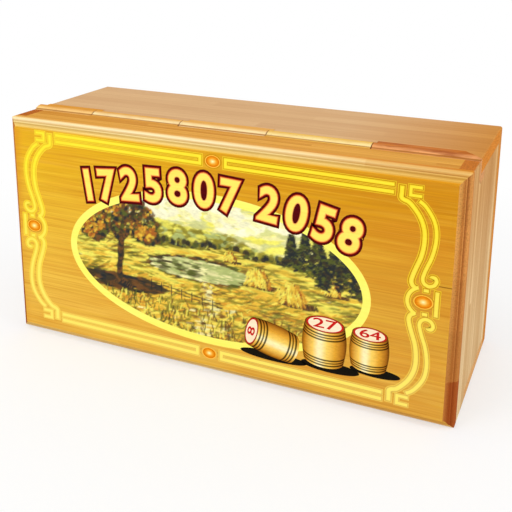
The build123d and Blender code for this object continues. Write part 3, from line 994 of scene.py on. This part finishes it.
# The three kegs: middle, turn, length, radius and number, and the shadows under them
PRINTED_KEGS = (((85.2, -30.2), 90, 16.5, 9.8, "64"), ((62.6, -31.2), 90, 19.0, 11.4, "27"),
                ((35.0, -36.4), 168, 22.5, 9.2, "8"))
KEG_SHADOWS = (((66.0, -44.0), (15.0, 2.9)), ((88.5, -41.2), (12.5, 2.5)), ((36.0, -45.4), (18.0, 2.6)))


def between(stops, value):
    """Colour at value on a row of (value, colour) stops."""
    for (low, a), (high, b) in zip(stops, stops[1:]):
        if value <= high:
            share = (value - low) / (high - low)
            return tuple(x + (y - x) * share for x, y in zip(a, b))
    return stops[-1][1]


def printed_keg(piece, middle, turn, length, radius, number, layer):
    """Drawn keg; its end with the number points along turn from the middle."""
    rotate = Matrix.Rotation(turn - math.pi / 2, 2)
    dip = radius * 0.38
    red, pale, rim = 1, 2, 3

    def place(side, along):
        """side from -1 to 1 across the keg, along from 0 at its foot to 1 at its numbered end."""
        belly = radius * (0.9 + 0.1 * math.sin(math.pi * along))
        flat = Vector((side * belly, (along - 0.5) * length - dip * math.sqrt(max(0, 1 - side * side))))
        return rotate @ flat + Vector(middle)

    rows = []
    for i in range(DRAWN_ROWS + 1):
        along = i / DRAWN_ROWS
        hoop = min(abs(along - at) for at in HOOPS)
        dark = 0.1 if hoop < HOOP_HALF else 0.45 if hoop < HOOP_EDGE else 1.0
        row = []
        for j in range(DRAWN_COLUMNS + 1):
            side = math.sin(math.pi * (j / DRAWN_COLUMNS - 0.5))
            shade = between(KEG_SHADES, side)
            row.append(piece.corner(*place(side, along), layer, (*[c * dark for c in shade[:3]], 1)))
        rows.append(row)
    for a, b in zip(rows, rows[1:]):
        for j in range(DRAWN_COLUMNS):
            piece.cover((a[j], a[j + 1], b[j + 1], b[j]), 0)
    top = rotate @ Vector((0, length / 2)) + Vector(middle)
    for up, (share, tint) in enumerate(((1.0, rim), (0.93, red), (0.83, pale)), 1):
        ring = ellipse((0, 0), (radius * 0.9 * share, dip * share), 48)
        piece.face([rotate @ point + top for point in ring], tint, layer + up)
    set_text(piece, number, radius * 0.95,
             lambda point: rotate @ Vector((point.x * 0.85, point.y * 0.46)) + top, 0.22, red, layer + 4)


def make_printed_kegs():
    """Three kegs drawn over the picture's foot, and the shadows under them."""
    piece = Print("lid_kegs_print", painted("printed keg inks"),
                  ink("keg red ink", (206, 34, 30), (176, 22, 24)),
                  ink("keg end ink", (255, 236, 206), (246, 218, 178)),
                  ink("keg rim ink", (120, 66, 18), (108, 59, 15)),
                  ink("keg shadow ink", (26, 22, 16), (22, 19, 13)))
    for middle, half in KEG_SHADOWS:
        piece.face(ellipse(middle, half, 48), 4, 3)
    for middle, turn, *size, number in PRINTED_KEGS:
        printed_keg(piece, middle, math.radians(turn), *size, number, 4)
    piece.finish()


make_printed_kegs()


# Kegs, cards and counters
KEG_WOOD = bamboo("turned keg wood", "Y", "X", (240, 206, 158), (214, 168, 112), 31.0, 8.0, 300.0, 0.7,
                  (236, 200, 150), None, 0.5, 0.1)
KEG_COLUMN_NODES = [f"kegs_column_{column}" for column in range(1, 10)]
for node in KEG_COLUMN_NODES:
    dress(node, KEG_WOOD)


def mottled(name, scale, light, dark, roughness, coat=0.0, strength=0.1, detail=2):
    """Plain finish of the contents: a light and a dark shade, with a bump where it is darker."""
    recipe = Recipe(name)
    grain = recipe.noise((scale, scale, scale), detail)
    base = recipe.shaded(light, dark, grain, 0.3, 0.7)
    return recipe.finish(base, roughness, coat, bump=grain, strength=strength)


dress("lotto_cards", mottled("card board", 3, (238, 232, 214), (222, 212, 188), 0.7, detail=3))
COUNTER_GLOSS = mottled("counter gloss", 0.4, (196, 36, 30), (160, 20, 22), 0.25, 0.3, 0.05)
BAG_COTTON = mottled("bag cotton", 4, (214, 200, 166), (186, 168, 130), 0.9, strength=0.4)
dress("counters", COUNTER_GLOSS)
dress("keg_bag", BAG_COTTON)

COUNTERS_A_STACK = 20
COUNTER_THICK = 3.0
COUNTER_RIM = 1.1
COUNTER_DISH = 0.3
COUNTER_BEVEL = 0.5
COUNTER_SIDES = 64


def make_counters():
    """Two stacks of counters lying side by side, each dished on both faces and rounded at its rim."""
    low, high = (Vector(corner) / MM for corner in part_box("counters"))
    radius = (high.z - low.z) / 2
    pitch = (high.y - low.y - COUNTER_THICK) / (COUNTERS_A_STACK - 1)
    on_edge = Matrix.Rotation(math.pi / 2, 4, "X")
    made = bmesh.new()
    for x in (low.x + radius, high.x - radius):
        for i in range(COUNTERS_A_STACK):
            middle = Vector((x, low.y + COUNTER_THICK / 2 + pitch * i, low.z + radius))
            bmesh.ops.create_cone(made, cap_ends=True, segments=COUNTER_SIDES, radius1=radius,
                                  radius2=radius, depth=COUNTER_THICK,
                                  matrix=Matrix.Translation(middle) @ on_edge)
    rims = [edge for edge in made.edges if any(len(face.verts) > 4 for face in edge.link_faces)]
    bmesh.ops.bevel(made, geom=rims, offset=COUNTER_BEVEL, segments=3, profile=0.5, affect="EDGES",
                    material=-1)
    faces = [face for face in made.faces if len(face.verts) > 4]
    bmesh.ops.inset_individual(made, faces=faces, thickness=COUNTER_RIM, depth=0.0)
    bmesh.ops.inset_individual(made, faces=faces, thickness=COUNTER_DISH, depth=-COUNTER_DISH)
    bmesh.ops.scale(made, vec=(MM, MM, MM), verts=made.verts)
    bmesh.ops.recalc_face_normals(made, faces=made.faces)
    piece = finish_piece("stacked_counters", made, "box", "counter_plastic", [COUNTER_GLOSS], "counters")
    piece.data.set_sharp_from_angle(angle=math.radians(30))


make_counters()

KEG_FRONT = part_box("kegs_column_1")[0][1]
KEG_ROWS_A_LAYER = 5
STAMP_RING = 7.9
STAMP_LINE = 0.7
STAMP_HEIGHT = 7.6
# Numbers that read as another one upside down, and so have a line under them
TURNABLE = ("6", "9", "66", "99", "68", "86", "89", "98")
UNDERLINE = ((-3, -5.6), (3, -5.6))


def make_keg_numbers():
    """Red ring and number on the front end of each keg of the front layer."""
    red = ink("keg stamp red", (200, 30, 28), (160, 18, 20), 0.5)
    numbers = list(range(1, 91))
    random.Random(90).shuffle(numbers)
    for column, node in enumerate(KEG_COLUMN_NODES, 1):
        low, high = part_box(node)
        middle = (low[0] + high[0]) / 2 / MM
        pitch = (high[2] - low[2] - (high[0] - low[0])) / (KEG_ROWS_A_LAYER - 1) / MM
        first = (low[2] + (high[0] - low[0]) / 2) / MM
        piece = Print(f"keg_numbers_{column}", red, plane=Plane(KEG_FRONT, "keg_wood"))
        for row in range(KEG_ROWS_A_LAYER):
            centre = Vector((middle, first + pitch * row))
            turn = random.Random(column * 10 + row).uniform(-0.5, 0.5)
            piece.band(ellipse(centre, (STAMP_RING, STAMP_RING), 40), STAMP_LINE, 0, 1, closed=True)
            number = str(numbers.pop())
            set_text(piece, number, STAMP_HEIGHT, placed_text(centre, turn), 0.16, 0, 1)
            if number in TURNABLE:
                ends = [Matrix.Rotation(turn, 2) @ Vector(end) + centre for end in UNDERLINE]
                piece.band(ends, STAMP_LINE, 0, 1)
        piece.finish()


make_keg_numbers()

CARD_ROWS, CARD_COLUMNS, NUMBERS_A_ROW = 3, 9, 5
CARD_LINE = 0.8
CARD_MARGIN = (6, 8)
CARD_NUMBER_HEIGHT = 13.0


def make_card_grid():
    """Three rows of nine places on the top card, five numbers to a row."""
    low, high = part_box("lotto_cards")
    middle = ((low[0] + high[0]) / 2 / MM, (low[2] + high[2]) / 2 / MM)
    piece = Print("card_grid_print", ink("card black ink", (44, 40, 40), (60, 56, 52), 0.6),
                  plane=Plane(low[1], "card", middle=middle))
    half_long, half_high = [(high[axis] - low[axis]) / 2 / MM - margin
                            for axis, margin in zip((0, 2), CARD_MARGIN)]
    wide, tall = 2 * half_long / CARD_COLUMNS, 2 * half_high / CARD_ROWS
    lap = CARD_LINE / 2
    for i in range(CARD_COLUMNS + 1):
        x = -half_long + wide * i
        piece.band(((x, -half_high - lap), (x, half_high + lap)), CARD_LINE, 0, 1)
    for i in range(CARD_ROWS + 1):
        z = -half_high + tall * i
        for j in range(CARD_COLUMNS):
            x = -half_long + wide * j
            piece.band(((x + lap, z), (x + wide - lap, z)), CARD_LINE, 0, 1)
    draw = random.Random(24)
    for row in range(CARD_ROWS):
        for column in sorted(draw.sample(range(CARD_COLUMNS), NUMBERS_A_ROW)):
            number = str(draw.randint(column * 10 + 1, column * 10 + 9))
            middle = (-half_long + wide * (column + 0.5), half_high - tall * (row + 0.5))
            set_text(piece, number, CARD_NUMBER_HEIGHT, placed_text(middle), 0.3, 0, 1)
    piece.finish()


make_card_grid()


def rounded_ring(half_wide, half_tall, corner, share):
    """Point at a share of the way round a rounded rectangle, from the middle of its foot."""
    wide, tall = half_wide - corner, half_tall - corner
    arc = math.pi / 2 * corner
    at = share * (4 * (wide + tall) + 4 * arc)
    legs = ((wide, (0, -half_tall), (1, 0)), (arc, (wide, -tall), -math.pi / 2),
            (2 * tall, (half_wide, -tall), (0, 1)), (arc, (wide, tall), 0.0),
            (2 * wide, (wide, half_tall), (-1, 0)), (arc, (-wide, tall), math.pi / 2),
            (2 * tall, (-half_wide, tall), (0, -1)), (arc, (-wide, -tall), math.pi),
            (wide, (-wide, -half_tall), (1, 0)))
    for long, start, way in legs:
        if at <= long + 1e-9:
            if isinstance(way, tuple):
                return Vector((start[0] + way[0] * at, start[1] + way[1] * at))
            angle = way + at / corner
            return Vector((start[0] + corner * math.cos(angle), start[1] + corner * math.sin(angle)))
        at -= long
    return Vector((0, -half_tall))


ROLL_TURNS = 4.6
ROLL_START = 0.12
ROLL_PITCH = 3.0
ROLL_POINTS = 900
# Radius of the roll's corners: the outermost, what each mm further in takes off it, and the least
ROLL_CORNER = (11, 0.6, 1.6)
CLOTH_THICK = 2.1
CLOTH_STEP = 1.6
CLOTH_ROWS = 34
# What the cloth keeps clear of the bag's room: its two edges together, and the outermost turn
EDGE_ROOM = 1.4
ROLL_ROOM = 0.5
# How far the cloth rumples and its edges waver, and how wide and how thick its hems are, as shares
RUMPLE = 0.32
WAVER = 0.35
HEM_WIDE, HEM_THICK = 0.04, 1.12


def roll_line(half):
    """Line of the rolled cloth from outside in, in steps of one length, and how long it is."""
    line = []
    corner, tighter, least = ROLL_CORNER
    for i in range(ROLL_POINTS + 1):
        turns = ROLL_START + ROLL_TURNS * i / ROLL_POINTS
        inset = CLOTH_THICK / 2 + ROLL_ROOM + ROLL_PITCH * (turns - ROLL_START)
        rounding = max(least, corner - inset * tighter)
        line.append(rounded_ring(half.x - inset, half.z - inset, rounding, turns % 1))
    steps, long = line[:1], 0.0
    for spot in line[1:]:
        if (spot - steps[-1]).length >= CLOTH_STEP:
            long += (spot - steps[-1]).length
            steps.append(spot)
    return steps, long


def make_bag():
    """The cloth bag, folded to a strip and wound into a flattened roll, with soft rumples and hems."""
    low, high = (Vector(corner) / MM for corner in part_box("keg_bag"))
    middle, half = (low + high) / 2, (high - low) / 2
    steps, long = roll_line(half)
    cloth_wide = 2 * half.y - EDGE_ROOM
    made = bmesh.new()
    draw = random.Random(5)
    waves = [(draw.uniform(0.05, 0.2), draw.uniform(0, 6), draw.uniform(0.02, 0.09), draw.uniform(0, 6))
             for _ in range(6)]
    outer, inner = [], []
    for i, spot in enumerate(steps):
        ahead = (steps[min(i + 1, len(steps) - 1)] - steps[max(i - 1, 0)]).normalized()
        outward = Vector((ahead.y, -ahead.x))
        for side in (outer, inner):
            side.append([])
        for j in range(CLOTH_ROWS + 1):
            share = j / CLOTH_ROWS
            rumple = sum(math.sin(i * CLOTH_STEP * a + b + share * 66 * c + d) for a, b, c, d in waves) / 6
            hem = 1.0 if HEM_WIDE < share < 1 - HEM_WIDE else HEM_THICK
            edge = math.sqrt(max(0.0, 1 - (2 * share - 1) ** 16))
            thick = CLOTH_THICK / 2 * hem * (0.35 + 0.65 * edge)
            centre = spot + outward * rumple * RUMPLE
            y = middle.y + (share - 0.5) * cloth_wide + WAVER * math.sin(i * 0.21 + 4 * share)
            for side, way in ((outer, 1), (inner, -1)):
                flat = centre + outward * way * thick
                side[-1].append(made.verts.new(Vector((middle.x + flat.x, y, middle.z + flat.y)) * MM))
    for side, way in ((outer, 1), (inner, -1)):
        for a, b in zip(side, side[1:]):
            for j in range(CLOTH_ROWS):
                made.faces.new((a[j], a[j + 1], b[j + 1], b[j])[::way])
    # The cloth's two long edges and its two ends
    for j in (0, CLOTH_ROWS):
        for i in range(len(steps) - 1):
            made.faces.new((outer[i][j], inner[i][j], inner[i + 1][j], outer[i + 1][j]))
    for i in (0, len(steps) - 1):
        for j in range(CLOTH_ROWS):
            made.faces.new((outer[i][j], inner[i][j], inner[i][j + 1], outer[i][j + 1]))
    bmesh.ops.recalc_face_normals(made, faces=made.faces)
    bag = finish_piece("rolled_bag", made, "box", "bag_cloth", [BAG_COTTON], "keg_bag")


make_bag()


# Camera, from the photograph's own perspective
PHOTO = 512
FOCAL_PX = 821.03
AXIS_PX = (256, 132)
SENSOR = 36.0
CAMERA_PLACE = (174.06, -394.43, 230.71)
CAMERA_AHEAD = (-0.38641, 0.88834, -0.24809)
CAMERA_UP = (-0.10664, 0.22414, 0.9687)


def make_camera():
    """The camera as it was fitted to the photograph, its axis off the picture's middle."""
    data = bpy.data.cameras.new("photo camera")
    camera = bpy.data.objects.new("photo camera", data)
    bpy.context.scene.collection.objects.link(camera)
    forward = Vector(CAMERA_AHEAD).normalized()
    right = forward.cross(Vector(CAMERA_UP)).normalized()
    turn = Matrix((right, right.cross(forward), -forward)).transposed().to_4x4()
    camera.matrix_world = Matrix.Translation(Vector(CAMERA_PLACE) * MM) @ turn
    data.sensor_width = SENSOR
    data.lens = FOCAL_PX / PHOTO * SENSOR
    data.shift_x = (PHOTO / 2 - AXIS_PX[0]) / PHOTO
    data.shift_y = -(PHOTO / 2 - AXIS_PX[1]) / PHOTO
    data.clip_start, data.clip_end = 0.01, 50
    bpy.context.scene.camera = camera


make_camera()

# Share of plain white in the floor, from and to these distances in mm
FLOOR_FADE = (120.0, 360.0, 0.55, 1.0)
FLOOR_HALF = 4
FLOOR_DROP = 0.0002
ROOM_LIGHT = 0.53


def make_stage():
    """Pale floor that keeps the object's shadow and runs out to plain white."""
    mesh = bpy.data.meshes.new("floor")
    made = bmesh.new()
    bmesh.ops.create_grid(made, x_segments=1, y_segments=1, size=FLOOR_HALF)
    made.to_mesh(mesh)
    made.free()
    floor = bpy.data.objects.new("floor", mesh)
    recipe = Recipe("pale floor")
    recipe.finish((250, 250, 250), 0.9)
    away = recipe.node("VectorMath", {0: recipe.place((1, 1, 0))}, output=1, operation="LENGTH")
    glow = recipe.times(recipe.seen_plainly(), recipe.ramp(away, *FLOOR_FADE))
    white = recipe.node("Emission", {"Color": WHITE, "Strength": 1.0})
    both = recipe.node("MixShader", {0: glow, 1: recipe.shader.outputs[0], 2: white})
    recipe.put(recipe.end.inputs[0], both)
    mesh.materials.append(recipe.material)
    floor.location.z = -FLOOR_DROP
    bpy.context.scene.collection.objects.link(floor)


make_stage()


def make_world():
    """White room: the camera and the lacquer see plain white, and the box is lit softly."""
    world = bpy.data.worlds.new("white room")
    bpy.context.scene.world = world
    world.use_nodes = True
    room = Nodes(world.node_tree)
    lit, shown = [room.node("Background", {"Color": WHITE, "Strength": strength})
                  for strength in (ROOM_LIGHT, 1.0)]
    room.whole("OutputWorld", {0: room.node("MixShader", {0: room.seen_plainly(), 1: lit, 2: shown})})


make_world()

MIDDLE = (0, 0, 0.06)


def softbox(name, place, size, watts):
    """Square lamp that faces the middle of the object."""
    data = bpy.data.lights.new(name, "AREA")
    data.shape = "RECTANGLE"
    data.size, data.size_y = size
    data.energy = watts
    lamp = bpy.data.objects.new(name, data)
    lamp.location = place
    lamp.rotation_euler = (Vector(MIDDLE) - Vector(place)).to_track_quat("-Z", "Y").to_euler()
    bpy.context.scene.collection.objects.link(lamp)


softbox("overhead softbox", (-0.1, -0.35, 1.1), (1.2, 0.7), 3.7)
softbox("front softbox", (-0.7, -1.1, 0.5), (0.8, 0.8), 6.4)
softbox("back softbox", (-0.5, 1.3, 0.6), (0.8, 0.8), 3.0)
softbox("right softbox", (1.2, -0.1, 0.5), (0.6, 0.8), 5.6)
